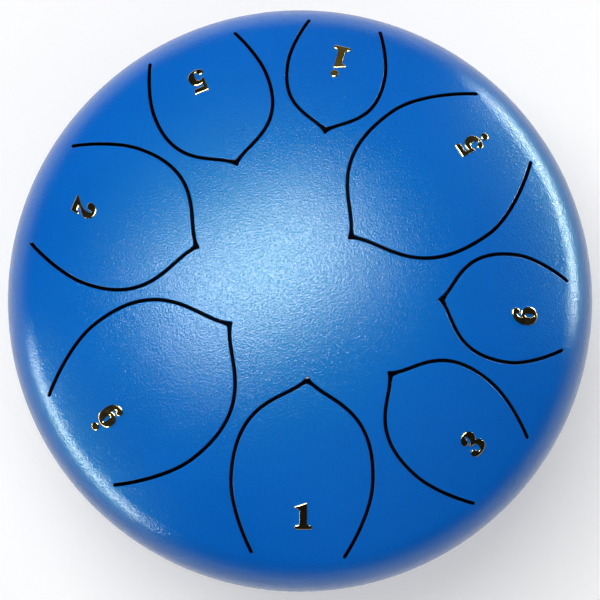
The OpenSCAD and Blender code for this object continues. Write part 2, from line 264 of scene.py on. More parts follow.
# Powder coat: colours and gloss, then the scales of its textures, per metre, and their shares
COAT_LIGHT = (0.0012, 0.135, 0.64)
COAT_DARK = (0.0008, 0.118, 0.57)
WELD_LIGHT = (0.0011, 0.120, 0.58)
WELD_DARK = (0.0008, 0.102, 0.50)
COAT_SHEEN = (0.02, 0.9, 0.30, 1)
SHEEN_ROUGH = (0.36, 0.40)
COAT_ROUGH = 0.145
COAT_WEIGHT = (0.3, 1.0)
CLOUDS = 22
SPECKS = 900
SPECK_SHARE = 0.25
CLOUD_RANGE = (0.35, 0.9)
PITS = 2300
PIT_RANGE = (0.35, 0.65)
PEEL_FINE = 3200
PEEL_COARSE = 2400
COARSE_SHARE = 0.8
PEEL_H = 0.054

# Camera: where it stands over the drum, from the photograph's framing.
CAMERA_Y = -67.92
CAMERA_Z = 613.01
CAMERA_ELEVATION = 83.67
LENS_PX = 2345.0
FRAME_PX = 600
SENSOR = 36.0

# Lamps: direction and elevation in degrees, distance, direction of the length, length,
# width, radiance, and the rays that see it. Distances and sizes are in metres. The strips
# stand close to the rim, so that only the shoulder mirrors them from above.
LAMPS = {
    "key": (126, 66, 1.5, 55, 1.15, 1.15, 5.0, "diffuse"),
    "softbox": (131, 77, 1.2, 29, 0.98, 0.52, 13.8, "glossy"),
    "fill": (300, 60, 1.5, 45, 1.5, 1.5, 0.8, "diffuse"),
    "right_strip": (24, 12.9, 0.133, 114, 0.130, 0.0155, 24.0, "glossy"),
    "left_strip": (211, 15.0, 0.135, 121, 0.110, 0.0155, 19.5, "glossy"),
}

# The world: grey at the horizon, dark above, and a faint warm patch for the numerals
WORLD_LOW = (0.18, 0.18, 0.18, 1)
WORLD_HIGH = (0.011, 0.011, 0.012, 1)
WORLD_FADE = (0.02, 0.35)
GLOW = (0.105, 0.090, 0.034, 1)
GLOW_DIRECTION = 88
GLOW_ELEVATION = 36
GLOW_FADE = (0.93, 0.985)

# The floor, in metres, and how bright it looks by itself
FLOOR_HALF = 6.0
FLOOR_TONE = (0.64, 0.64, 0.64, 1)
FLOOR_ROUGH = 0.9
FLOOR_GLOW = 0.42


def unit(v):
    return v / np.linalg.norm(v, axis=-1, keepdims=True)


def round_about(degrees):
    """The matrix that turns row vectors in the plane by an angle."""
    a = math.radians(degrees)
    return np.array([[math.cos(a), math.sin(a)], [-math.sin(a), math.cos(a)]])


def polar(r, degrees):
    return np.array([r, 0.0]) @ round_about(degrees)


def bearing(v):
    return math.degrees(math.atan2(v[1], v[0]))


def heading(direction, elevation):
    """The unit vector in a direction round the drum, so many degrees above the floor."""
    a, e = math.radians(direction), math.radians(elevation)
    return Vector((math.cos(a) * math.cos(e), math.sin(a) * math.cos(e), math.sin(e)))


def arc(centre, radius, start, end, steps):
    """Points on an arc and the directions outwards at them."""
    a = np.radians(np.linspace(start, end, steps + 1))
    outwards = np.c_[np.cos(a), np.sin(a)]
    return np.array(centre) + radius * outwards, outwards


def circle(centre, radius, steps):
    """Points on a circle and the directions outwards at them."""
    return arc(centre, radius, 0, 360 - 360 / steps, steps - 1)


def whole_turn(steps):
    """The angles of even steps round a circle."""
    return np.radians(np.arange(steps) * 360 / steps)


def circle_row(r, z, steps):
    """A row of points round the axis. The radius can be a number for each point."""
    a = whole_turn(steps)
    return np.c_[r * np.cos(a), r * np.sin(a), z * np.ones(steps)]


def round_edge(radius, turns):
    """How far points of a round edge stand in from the two faces that it joins."""
    return [(radius * (1 - math.cos(a)), radius * (1 - math.sin(a))) for a in np.radians(turns)]


def moved(rows, matrix):
    m = np.array(matrix)
    return [row @ m[:3, :3].T + m[:3, 3] for row in rows]


def cubic(t, q):
    t = np.asarray(t)[:, None]
    return (1 - t) ** 3 * q[0] + 3 * (1 - t) ** 2 * t * q[1] + 3 * (1 - t) * t * t * q[2] + t ** 3 * q[3]


def cubic_heading(t, q):
    t = np.asarray(t)[:, None]
    return unit((1 - t) ** 2 * (q[1] - q[0]) + 2 * (1 - t) * t * (q[2] - q[1]) + t * t * (q[3] - q[2]))


def dome(plan, depth):
    """The sheet's surface over plan points, drawn in by depth, from the rim: places and normals."""
    r = np.linalg.norm(plan, axis=1)
    on_crown = r <= (CROWN_R - depth) * math.sin(SLOPE)
    centre_r = np.where(on_crown, 0.0, KNUCKLE_X)
    centre_z = np.where(on_crown, CROWN_Z, SKIRT_H)
    radius = np.where(on_crown, CROWN_R, KNUCKLE_R) - depth
    z = centre_z + np.sqrt(radius ** 2 - (r - centre_r) ** 2)
    around = plan / np.maximum(r, TINY)[:, None]
    normals = np.c_[around * (r - centre_r)[:, None], z - centre_z] / radius[:, None]
    return np.c_[plan, z], normals


def inside(points, loop):
    """Which points lie in a closed loop."""
    x, y = points[:, 0, None], points[:, 1, None]
    ax, ay = loop[:, 0], loop[:, 1]
    bx, by = np.roll(ax, -1), np.roll(ay, -1)
    crosses = (ay > y) != (by > y)
    with np.errstate(divide="ignore", invalid="ignore"):
        at = (bx - ax) * (y - ay) / (by - ay) + ax
    return (crosses & (x < at)).sum(1) % 2 == 1


def inside_all(points, loops):
    """Which points lie in the first loop and in none of the others."""
    kept = inside(points, loops[0])
    for hole in loops[1:]:
        kept &= ~inside(points, hole)
    return kept


def nearest_edge(points, loops):
    """How far each point is from the nearest edge of the loops, and the direction away from it."""
    gaps, away = np.full(len(points), np.inf), np.zeros_like(points)
    for loop in loops:
        for a, b in zip(loop, np.roll(loop, -1, axis=0)):
            along = b - a
            t = np.clip((points - a) @ along / max(along @ along, TINY), 0, 1)
            off = points - a - t[:, None] * along
            gap = np.linalg.norm(off, axis=1)
            closer = gap < gaps
            gaps[closer] = gap[closer]
            away[closer] = off[closer] / np.maximum(gap[closer], TINY)[:, None]
    return gaps, away


def left_normals(loop):
    """The direction to the left at each point of a closed loop, halving its corners."""
    ahead = unit(np.roll(loop, -1, axis=0) - loop)
    behind = np.roll(ahead, 1, axis=0)
    return unit(np.c_[-(ahead + behind)[:, 1], (ahead + behind)[:, 0]])


def wound(loop, way):
    """The loop in the wanted order: 1 for anticlockwise, -1 for clockwise."""
    x, y = loop[:, 0], loop[:, 1]
    area = (x * np.roll(y, -1) - np.roll(x, -1) * y).sum()
    return loop if area * way > 0 else loop[::-1]


def honeycomb(loop, spacing):
    """A hexagonal grid of points over a loop's box."""
    low, high = loop.min(0), loop.max(0)
    rise = spacing * math.sqrt(3) / 2
    points = [(x + (j % 2) * spacing / 2, y)
              for j, y in enumerate(np.arange(low[1], high[1], rise))
              for x in np.arange(low[0], high[0], spacing)]
    return np.array(points)


def triangles(loops, extra=np.empty((0, 2))):
    """Triangles between loops, the first the outside one, over the loops' points and some extra ones."""
    points = np.vstack([*loops, extra])
    edges, start = [], 0
    for loop in loops:
        edges += [(start + k, start + (k + 1) % len(loop)) for k in range(len(loop))]
        start += len(loop)
    _, _, found, origin, _, _ = delaunay_2d_cdt([Vector(p) for p in points], edges, [], 0, MERGE_GAP)
    source = [o[0] for o in origin]
    found = np.array([[source[v] for v in f] for f in found])
    return found[inside_all(points[found].mean(1), loops)]


COAT, CUT, INNER = 0, 1, 2
# both faces of the sheet: how deep each lies, the way its normals turn and its finish
SHEET_FACES = ((0.0, 1, COAT), (SHEET_T, -1, INNER))


class Sheet:
    """Points, normals and faces of one closed piece, such as a piece of pressed sheet."""

    def __init__(self):
        self.points, self.normals, self.faces, self.finishes = [], [], [], []

    def add(self, points, normals=(0, 0, 1)):
        """Adds points with their normals and gives their numbers."""
        first = len(self.points)
        self.points.extend(map(tuple, points))
        self.normals.extend(map(tuple, unit(np.broadcast_to(normals, np.shape(points)))))
        return np.arange(first, len(self.points))

    def face(self, ids, finish):
        self.faces.append([int(i) for i in ids])
        self.finishes.append(finish)

    def band(self, row, other, finish, closed=False):
        """Four-sided faces between two rows of points."""
        last = len(row) if closed else len(row) - 1
        for k in range(last):
            n = (k + 1) % len(row)
            self.face((row[k], row[n], other[n], other[k]), finish)

    def plan(self, ids):
        return np.array([self.points[i][:2] for i in ids])

    def edge(self, points, into, radius, closed=False):
        """The cut edge through the sheet along plan points, rounded on both faces."""
        rows = []
        for depth, side, _ in SHEET_FACES:
            for turn in EDGE_TURNS[::side]:
                s, c = math.sin(math.radians(turn)), math.cos(math.radians(turn))
                places, normals = dome(points + into * radius * (1 - s), depth)
                places[:, 2] -= side * radius * (1 - c)
                outwards = np.c_[-into, np.zeros(len(into))]
                rows.append(self.add(places, side * c * normals + s * outwards))
        for row, other, finish in zip(rows, rows[1:], (COAT, COAT, CUT, INNER, INNER)):
            self.band(row, other, finish, closed)
        return rows

    def root(self, rows, spacing):
        """Closes an edge along its root line. Gives the loops of the top and the bottom face."""
        first, last = self.plan([rows[0][0], rows[0][-1]])
        steps = max(2, round(np.linalg.norm(last - first) / spacing))
        share = np.linspace(1, 0, steps + 1)[1:-1, None]
        line = first + share * (last - first)
        loops, lines = [], []
        for (depth, side, _), row in zip(SHEET_FACES, (rows[0], rows[-1])):
            places, normals = dome(line, depth)
            added = self.add(places, side * normals)
            lines.append(np.r_[row[-1], added, row[0]])
            loops.append(np.r_[row, added])
        self.band(*lines, CUT)
        for end in (0, -1):
            self.face([row[end] for row in rows], CUT)
        return loops

    def skins(self, loops, spacing):
        """Both faces of the sheet between loops of ids, given as pairs of top and bottom."""
        plans = [self.plan(top) for top, bottom in loops]
        grid = honeycomb(plans[0], spacing)
        grid = grid[np.linalg.norm(grid, axis=1) < BEND_ROWS[0] - ROW_CLEAR_SHARE * spacing]
        grid = np.vstack([grid, *[circle_row(r, 0, RING_STEPS // 2)[:, :2] for r in BEND_ROWS]])
        grid = grid[inside_all(grid, plans)]
        grid = grid[nearest_edge(grid, plans)[0] > LOOP_CLEAR_SHARE * spacing]
        found = triangles(plans, grid)
        for k, (depth, side, finish) in enumerate(SHEET_FACES):
            places, normals = dome(grid, depth)
            ids = np.r_[np.concatenate([pair[k] for pair in loops]), self.add(places, side * normals)]
            for f in found:
                self.face(ids[f], finish)

    def ring(self, r, z, tilt, side):
        """A row of the rim, whose normals lean outwards by tilt."""
        a = whole_turn(RING_STEPS)
        around = np.c_[np.cos(a), np.sin(a)]
        leaning = np.c_[around * math.sin(tilt), np.full(len(a), math.cos(tilt))]
        return self.add(circle_row(r, z, RING_STEPS), side * leaning)

    def piece(self, name, finishes, base_z, flipped=False):
        """The mesh object, standing on the rim's height or hanging from it."""
        upright = np.array([1, 1, -1 if flipped else 1])
        places = (np.array(self.points) * upright + (0, 0, base_z)) * MM
        normals = np.array(self.normals) * upright
        return mesh_piece(name, places, self.faces, finishes, normals, self.finishes)


def mesh_piece(name, places, faces, finishes, normals=None, finish_of=None):
    """A closed smooth mesh object with its finishes, its faces turned outwards."""
    mesh = bpy.data.meshes.new(name)
    mesh.from_pydata([tuple(p) for p in places], [], faces)
    for finish in finishes:
        mesh.materials.append(finish)
    if finish_of is not None:
        mesh.polygons.foreach_set("material_index", finish_of)
    work = bmesh.new()
    work.from_mesh(mesh)
    bmesh.ops.recalc_face_normals(work, faces=work.faces)
    work.to_mesh(mesh)
    work.free()
    mesh.polygons.foreach_set("use_smooth", [True] * len(mesh.polygons))
    if normals is not None:
        mesh.normals_split_custom_set_from_vertices([tuple(n) for n in normals])
    mesh.update()
    return placed(name, mesh)


def placed(name, data):
    """A new object in the scene."""
    made = bpy.data.objects.new(name, data)
    bpy.context.scene.collection.objects.link(made)
    return made


def rows_piece(name, rows, finish):
    """A closed piece of rows of points round an axis, which come back to the first row."""
    sheet = Sheet()
    ids = [sheet.add(row) for row in rows]
    for row, other in zip(ids, ids[1:] + ids[:1]):
        sheet.band(row, other, COAT, closed=True)
    piece = mesh_piece(name, np.array(sheet.points) * MM, sheet.faces, [finish])
    piece.data.set_sharp_from_angle(angle=math.radians(SHARP_ANGLE))
    return piece


# Tongues and their cuts, drawn from the tip along +X and mirrored about that axis.
def leaf_side(length, half, root):
    """The middle of the cut on one side, from tip to root, and its headings."""
    widest = WIDEST_SHARE * length
    run = length - widest
    front = np.array([(0, 0), (TIP_PULL_SHARES[0] * widest, TIP_PULL_SHARES[1] * half),
                      (SWELL_PULL_SHARE * widest, half), (widest, half)])
    back = np.array([(widest, half), (widest + BACK_PULL_SHARE * run, half),
                     (length - ROOT_PULL_SHARES[0] * run, root + ROOT_PULL_SHARES[1] * (half - root)),
                     (length, root)])
    early = np.linspace(0, 1, FRONT_STEPS, endpoint=False)
    late = np.linspace(0, 1, BACK_STEPS + 1)
    line = np.vstack([cubic(early, front), cubic(late, back)])
    ahead = np.vstack([cubic_heading(early, front), cubic_heading(late, back)])
    return line, ahead


def shell_side(size):
    """The cut's outer side with its rounded corner at the tip and its round end at the root."""
    line, ahead = leaf_side(*size)
    left = np.c_[-ahead[:, 1], ahead[:, 0]]
    at_tip, at_root = bearing(ahead[0]), bearing(ahead[-1])
    corner_x = (CORNER_R - KERF_W / 2) / math.sin(math.radians(at_tip))
    corner, corner_out = arc((corner_x, 0), CORNER_R, 180, 90 + at_tip, TIP_STEPS)
    end, end_out = arc(line[-1], KERF_W / 2, at_root + 90, at_root - 90, END_STEPS)
    points = np.vstack([corner, line + KERF_W / 2 * left, end[1:]])
    return points, np.vstack([corner_out, left, end_out[1:]])


def tongue_side(size):
    """The tongue's own edge, with its rounded point."""
    line, ahead = leaf_side(*size)
    left = np.c_[-ahead[:, 1], ahead[:, 0]]
    at_tip = bearing(ahead[0])
    point_x = (KERF_W / 2 + TIP_R) / math.sin(math.radians(at_tip))
    point, point_out = arc((point_x, 0), TIP_R, 180, 90 + at_tip, TIP_STEPS)
    side = line - KERF_W / 2 * left
    clear = (side[:, 0] > point[-1, 0]) & (side[:, 1] > point[-1, 1])
    return np.vstack([point, side[clear]]), np.vstack([-point_out, -left[clear]])


def on_drum(name, side):
    """A side and its mirror image as one path on the plan of the drum, from root to root."""
    tip_r, tip_dir, axis_dir, *size = TONGUES[name]
    points, into = side([s * SHELL_R for s in size])
    turn = round_about(axis_dir)
    mirror = np.array([1, -1])
    points = np.vstack([(points[1:] * mirror)[::-1], points])
    into = np.vstack([(into[1:] * mirror)[::-1], into])
    return points @ turn + polar(tip_r * SHELL_R, tip_dir), into @ turn


def pressed_half(round_holes, tongues):
    """A half shell on its rim, with round holes and the openings of tongues cut through it."""
    sheet = Sheet()
    rims, loops = [], []
    for depth, side, finish in SHEET_FACES:
        bend = KNUCKLE_R - depth
        start = math.asin((FILL_R - KNUCKLE_X) / bend)
        rows = [sheet.ring(KNUCKLE_X + bend * math.sin(a), SKIRT_H + bend * math.cos(a), a, side)
                for a in np.linspace(start, math.pi / 2, KNUCKLE_STEPS + 1)]
        rows += [sheet.ring(SHELL_R - depth, SKIRT_H * (1 - k / SKIRT_STEPS), math.pi / 2, side)
                 for k in range(1, SKIRT_STEPS + 1)]
        for row, other in zip(rows, rows[1:]):
            sheet.band(row, other, finish, closed=True)
        rims.append(rows)
    sheet.band(rims[0][-1], rims[1][-1], CUT, closed=True)
    loops.append((rims[0][0], rims[1][0]))
    for centre, radius, steps, edge_r in round_holes:
        rows = sheet.edge(*circle(centre, radius, steps), edge_r, closed=True)
        loops.append((rows[0], rows[-1]))
    for name in tongues:
        rows = sheet.edge(*on_drum(name, shell_side), CUT_EDGE_R)
        loops.append(sheet.root(rows, ROOT_SPACING))
    sheet.skins(loops, SKIN_SPACING)
    return sheet


def make_tongue(name, finishes):
    """A tongue that stays joined to the shell at its root."""
    sheet = Sheet()
    rows = sheet.edge(*on_drum(name, tongue_side), CUT_EDGE_R)
    sheet.skins([sheet.root(rows, ROOT_SPACING)], TONGUE_SPACING)
    piece = sheet.piece("tongue_skin_" + name, finishes, RIM_Z)
    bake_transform(piece)
    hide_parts("tongue_" + name)


def make_shells(coat, primer, edge):
    """Both half shells, which ride the drum, and the tongues."""
    finishes = [coat, edge, primer]
    upper = pressed_half([], list(TONGUES)).piece("upper_skin", finishes, RIM_Z)
    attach(upper, "drum")
    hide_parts("upper_shell")
    holes = [((0, 0), SOUND_HOLE_R, SOUND_HOLE_STEPS, HOLE_EDGE_R)]
    holes += [(polar(FOOT_CIRCLE_R, a), SCREW_HOLE_R, SCREW_HOLE_STEPS, CUT_EDGE_R)
              for a in FOOT_DIRS.values()]
    lower = pressed_half(holes, []).piece("lower_skin", finishes, 2 * SEAM_Z - RIM_Z, flipped=True)
    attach(lower, "drum")
    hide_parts("lower_shell")
    for name in TONGUES:
        make_tongue(name, finishes)


# Numerals are plates with a sloping edge, laid on the crown.
def outline(pieces, size):
    """An even run of points along a closed outline of lines and curves."""
    start, *steps = [np.array(piece, float) * size for piece in pieces]
    if pieces[-1][-2:] != pieces[0]:
        steps.append(start)
    points, here = [start], start
    for step in steps:
        q = np.vstack([here, step.reshape(-1, 2)])
        length = np.linalg.norm(np.diff(q, axis=0), axis=1).sum()
        straight = len(q) == 2
        fewest = 1 if straight else FEWEST_CURVE_STEPS
        t = np.linspace(0, 1, max(fewest, round(length / OUTLINE_STEP)) + 1)[1:]
        points.extend(q[0] + t[:, None] * (q[1] - q[0]) if straight else cubic(t, q))
        here = q[-1]
    return np.array(points[:-1])


def plate_rise(gap):
    """The height of the plate over its wall at a distance from its outline, from 0 to 1."""
    u = np.asarray(gap) / PLATE_SLOPE_W
    eased = 1 - (1 + PLATE_EASE - u) ** 2 / (4 * PLATE_EASE)
    return np.where(u < 1 - PLATE_EASE, u, np.where(u > 1 + PLATE_EASE, 1.0, eased))


def plate(loops):
    """Points, normals and faces of a plate over closed loops, the metal on their left."""
    sheet = Sheet()
    rise = DIGIT_T - PLATE_WALL
    rims, base = [], []
    for loop in loops:
        outwards = np.c_[-left_normals(loop), np.zeros(len(loop))]
        foot = sheet.add(np.c_[loop, np.full(len(loop), -PLATE_SINK)], outwards)
        wall = sheet.add(np.c_[loop, np.full(len(loop), PLATE_WALL - PLATE_RINGS[0])], outwards)
        rim = sheet.add(np.c_[loop, np.full(len(loop), PLATE_WALL)], outwards + (0, 0, 1.0))
        sheet.band(foot, wall, COAT, closed=True)
        sheet.band(wall, rim, COAT, closed=True)
        base.append(foot)
        rims.append(rim)
    extra = np.vstack([loop + left_normals(loop) * step for step in PLATE_RINGS for loop in loops])
    wanted = np.concatenate([np.full(len(loop), step) for step in PLATE_RINGS for loop in loops])
    gaps, _ = nearest_edge(extra, loops)
    extra = extra[(gaps > wanted * RING_SLACK_SHARE) & inside_all(extra, loops)]
    grid = honeycomb(loops[0], PLATE_GRID)
    grid = grid[inside_all(grid, loops)]
    gaps, _ = nearest_edge(grid, loops)
    extra = np.vstack([extra, grid[gaps > PLATE_RINGS[-1] + PLATE_GRID / 2]])
    gaps, away = nearest_edge(extra, loops)
    slope = rise * (plate_rise(gaps + SLOPE_PROBE) - plate_rise(gaps - SLOPE_PROBE)) / (2 * SLOPE_PROBE)
    heights = PLATE_WALL + rise * plate_rise(gaps)
    added = sheet.add(np.c_[extra, heights], np.c_[-away * slope[:, None], np.ones(len(extra))])
    ids = np.r_[np.concatenate(rims), added]
    for f in triangles(loops, extra):
        sheet.face(ids[f], COAT)
    under = np.concatenate(base)
    for f in triangles(loops):
        sheet.face(under[f], COAT)
    return sheet


def laid_on_crown(sheet, r, direction, turn):
    """Wraps a flat plate onto the crown, its top towards the middle of the drum."""
    p, n = np.array(sheet.points), np.array(sheet.normals)
    up = np.c_[p[:, :2], np.sqrt(CROWN_R ** 2 - (p[:, :2] ** 2).sum(1))] / CROWN_R
    places = up * (CROWN_R + LABEL_GAP + p[:, 2:])
    lean = Matrix.Rotation(math.radians(direction), 3, "Z") @ Matrix.Rotation(
        math.asin(r / CROWN_R), 3, "Y") @ Matrix.Rotation(math.radians(90 + turn), 3, "Z")
    lean = np.array(lean).T
    flat = n + np.c_[np.zeros((len(n), 2)), -(n[:, :2] * up[:, :2]).sum(1)]
    flat[:, :2] += n[:, 2:] * up[:, :2]
    return places @ lean + (0, 0, DRUM_H - CROWN_R), unit(flat) @ lean


def make_label(name, finish):
    """A numeral with its octave dot, if it has one, laid on its tongue."""
    digit, share, direction, turn, dot = LABELS[name]
    loops = [outline(pieces, DIGIT_H) - (0, DIGIT_H / 2) for pieces in DIGITS[digit]]
    loops = [wound(loop, -1 if k else 1) for k, loop in enumerate(loops)]
    parts = [(plate(loops), share * SHELL_R, direction, turn)]
    if dot:
        ring, _ = circle((0, 0), DOT_R, DOT_STEPS)
        parts.append((plate([ring]), dot[0] * SHELL_R, dot[1], 0))
    places, normals, faces = np.empty((0, 3)), np.empty((0, 3)), []
    for sheet, r, at, spin in parts:
        faces += [[i + len(places) for i in f] for f in sheet.faces]
        p, n = laid_on_crown(sheet, r, at, spin)
        places, normals = np.vstack([places, p]), np.vstack([normals, n])
    piece = mesh_piece("numeral_" + name, places * MM, faces, [finish], normals)
    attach(piece, "tongue_" + name)
    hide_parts("label_" + name)


def make_weld(finish):
    """The weld between the rims: a ring with a low, faintly rippled bead."""
    a = whole_turn(BEAD_STEPS)
    draw = random.Random(3)
    drift = sum(RIPPLE_DRIFT * np.sin(k * a + draw.uniform(0, DRIFT_PHASE)) for k in DRIFT_WAVES)
    half = (RIM_Z - SEAM_Z) - WELD_CLEAR
    inner_r, flange_r = SHELL_R - SHEET_T, SHELL_R - BEAD_SINK
    section = [(inner_r, -half), (inner_r, half), (flange_r, half), (flange_r, BEAD_HALF_W)]
    for share in np.linspace(BEAD_SPAN_SHARE, -BEAD_SPAN_SHARE, BEAD_ROWS):
        ripple = (1 + np.cos(BEAD_RIPPLES * a + RIPPLE_BOW * share ** 2 + drift)) / 2
        height = (BEAD_H - RIPPLE_H * ripple) * math.cos(share * math.pi / 2) ** BEAD_FULLNESS
        section.append((SHELL_R + height, share * BEAD_HALF_W))
    section += [(flange_r, -BEAD_HALF_W), (flange_r, -half)]
    rows = [circle_row(r, SEAM_Z + z, BEAD_STEPS) for r, z in section]
    piece = rows_piece("weld_bead", rows, finish)
    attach(piece, "drum")
    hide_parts("seam_weld")


def foot_frame(side):
    """The frame of a foot and its screw, where the bottom dome meets the foot's axis."""
    return (Matrix.Translation((0, 0, STAND_H + CROWN_R))
            @ Matrix.Rotation(math.radians(FOOT_DIRS[side]), 4, "Z")
            @ Matrix.Rotation(math.pi - FOOT_TILT, 4, "Y")
            @ Matrix.Translation((0, 0, CROWN_R)))


def table_row(r, up):
    """A row round the foot's axis that stays a distance up from the table."""
    row = circle_row(r, 0, FOOT_STEPS)
    top = STAND_H + CROWN_R - CROWN_R * math.cos(FOOT_TILT)
    row[:, 2] = (top - up - row[:, 0] * math.sin(FOOT_TILT)) / math.cos(FOOT_TILT)
    return row


def on_dome(r):
    """The height of the foot's seat at a distance from its axis."""
    return math.sqrt((CROWN_R + SEAT_GAP) ** 2 - r ** 2) - CROWN_R


def make_foot(side, finish):
    """A tapered rubber foot with a lipped flange and a recess for the screw's head."""
    seat, flange, neck_r = on_dome(FOOT_TOP_R), FOOT_WEB / 2, FOOT_TOP_R - FOOT_LIP
    section = [(SCREW_HOLE_R, on_dome(SCREW_HOLE_R)), (SEAT_ROW_R, on_dome(SEAT_ROW_R)),
               (FOOT_TOP_R - SEAT_EDGE_R, seat)]
    section += [(FOOT_TOP_R - s, seat + c) for c, s in round_edge(SEAT_EDGE_R, (30, 60, 90))]
    section += [(FOOT_TOP_R - c, flange - s) for c, s in round_edge(FLANGE_EDGE_R, (0, 30, 60, 90))]
    section += [(neck_r - r, flange + z) for r, z in NECK_ROWS]
    rows = [circle_row(r, z, FOOT_STEPS) for r, z in section]
    rows.append(table_row(FOOT_END_R + TAPER_OUT, TAPER_UP))
    rows += [table_row(FOOT_END_R - c, s) for c, s in round_edge(FOOT_EDGE_R, (0, 22, 45, 67, 90))]
    rows += [table_row(RECESS_R + c, s) for c, s in round_edge(RECESS_EDGE_R, (90, 60, 30, 0))]
    section = [(RECESS_R, FOOT_WEB + RECESS_FILLET), (RECESS_R - RECESS_FILLET, FOOT_WEB),
               (SCREW_HOLE_R, FOOT_WEB)]
    rows += [circle_row(r, z, FOOT_STEPS) for r, z in section]
    piece = rows_piece("rubber_foot_" + side, moved(rows, foot_frame(side)), finish)
    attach(piece, "drum")
    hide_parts("foot_" + side)


def thread_row(z):
    """A row of the thread, whose crest winds round the shank."""
    turns = (z / THREAD_PITCH - whole_turn(SCREW_STEPS) / (2 * math.pi)) % 1
    return circle_row(SCREW_R - THREAD_DEPTH * np.abs(2 * turns - 1) ** THREAD_CREST, z, SCREW_STEPS)


def head_top(r):
    """The height of the head's dome at a distance from the screw's axis."""
    return HEAD_Z + HEAD_H - HEAD_ROUND_R + math.sqrt(HEAD_ROUND_R ** 2 - r ** 2)


def make_screw(side, finish):
    """A pan-head screw with a rolled thread and a cross recess."""
    sheet = Sheet()
    threads = np.arange(-SHANK_IN + THREAD_RUNOUT, HEAD_Z - THREAD_RUNOUT, THREAD_PITCH / THREAD_ROWS)
    head = [(SCREW_R, HEAD_Z), (HEAD_R - HEAD_CHAMFER, HEAD_Z), (HEAD_R, HEAD_Z + HEAD_CHAMFER)]
    head += [(HEAD_R - r, head_top(HEAD_R - r) - down) for r, down in HEAD_ROWS]
    rows = [circle_row(SCREW_POINT_R, -SHANK_IN, SCREW_STEPS), *map(thread_row, threads)]
    rows += [circle_row(r, z, SCREW_STEPS) for r, z in head]
    ids = [sheet.add(row) for row in rows]
    for row, other in zip(ids, ids[1:]):
        sheet.band(row, other, COAT, closed=True)
    sheet.face(ids[0], COAT)
    w, reach = CROSS_HALF_W, CROSS_REACH
    tip = w * CROSS_TAPER_SHARE
    arm = np.array([(w, w), (reach, tip), (reach, -tip), (w, -w)])
    cross = np.vstack([(arm @ round_about(90 * k))[:3][::-1] for k in range(4)])
    rim = sheet.add([(x, y, head_top(math.hypot(x, y))) for x, y in cross])
    pit_z = HEAD_Z + HEAD_H - CROSS_DEPTH
    pit = sheet.add(np.c_[cross * PIT_SHARE, np.full(len(cross), pit_z)])
    sheet.band(rim, pit, COAT, closed=True)
    for f in triangles([sheet.plan(ids[-1]), cross]):
        sheet.face(np.r_[ids[-1], rim][f], COAT)
    for f in triangles([cross * PIT_SHARE]):
        sheet.face(pit[f], COAT)
    places = moved([np.array(sheet.points)], foot_frame(side))[0] * MM
    piece = mesh_piece("foot_screw_" + side, places, sheet.faces, [finish])
    piece.data.set_sharp_from_angle(angle=math.radians(SCREW_SHARP_ANGLE))
    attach(piece, "drum")
    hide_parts("foot_screws")


def dress(node, finish):
    """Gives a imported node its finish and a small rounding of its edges."""
    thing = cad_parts[node]
    thing.data.materials.clear()
    thing.data.materials.append(finish)
    rounding = thing.modifiers.new("edges", "BEVEL")
    rounding.width = NUT_EDGE_R * MM
    rounding.segments = NUT_EDGE_STEPS
    rounding.limit_method = "ANGLE"
    rounding.angle_limit = math.radians(SHARP_ANGLE)


class Nodes:
    """Builds nodes in the tree of a material or of the world."""

    def __init__(self, tree):
        self.tree = tree

    def node(self, kind, values=(), **settings):
        made = self.tree.nodes.new(kind)
        for name, value in settings.items():
            setattr(made, name, value)
        for socket, value in dict(values).items():
            if isinstance(value, bpy.types.NodeSocket):
                self.tree.links.new(value, made.inputs[socket])
            else:
                made.inputs[socket].default_value = value
        return made

    def feed(self, node, socket, value):
        self.tree.links.new(value, self.tree.nodes[node].inputs[socket])

    def span(self, value, low, high, start=0.25, end=0.75, **settings):
        """Runs from low to high as the value runs from start to end."""
        values = {"Value": value, "From Min": start, "From Max": end, "To Min": low, "To Max": high}
        return self.node("ShaderNodeMapRange", values, **settings).outputs["Result"]

    def mix(self, share, first, second, **settings):
        values = {0: share, 6: first, 7: second}
        return self.node("ShaderNodeMix", values, data_type="RGBA", **settings).outputs[2]

    def sum(self, a, b, share):
        """The first value and a share of the second."""
        return self.node("ShaderNodeMath", {0: b, 1: share, 2: a}, operation="MULTIPLY_ADD").outputs[0]


class Finish(Nodes):
    """A material around one Principled shader, with textures in the object's own space."""

    def __init__(self, name, **sockets):
        self.material = bpy.data.materials.new(name)
        self.material.use_nodes = True
        super().__init__(self.material.node_tree)
        for socket, value in sockets.items():
            self.tree.nodes["Principled BSDF"].inputs[socket.replace("_", " ")].default_value = value
        self.place = self.node("ShaderNodeTexCoord").outputs["Object"]

    def show(self, socket, value):
        self.feed("Principled BSDF", socket, value)

    def noise(self, per_metre, detail=2.0):
        values = {"Vector": self.place, "Scale": per_metre, "Detail": detail}
        return self.node("ShaderNodeTexNoise", values).outputs["Fac"]

    def cells(self, per_metre):
        values = {"Vector": self.place, "Scale": per_metre}
        return self.node("ShaderNodeTexVoronoi", values, feature="SMOOTH_F1").outputs["Distance"]

    def colours(self, share, first, second):
        return self.mix(share, (*first, 1), (*second, 1))

    def bump(self, height, distance, sockets=("Normal",)):
        values = {"Height": height, "Distance": distance}
        lifted = self.node("ShaderNodeBump", values).outputs["Normal"]
        for socket in sockets:
            self.show(socket, lifted)


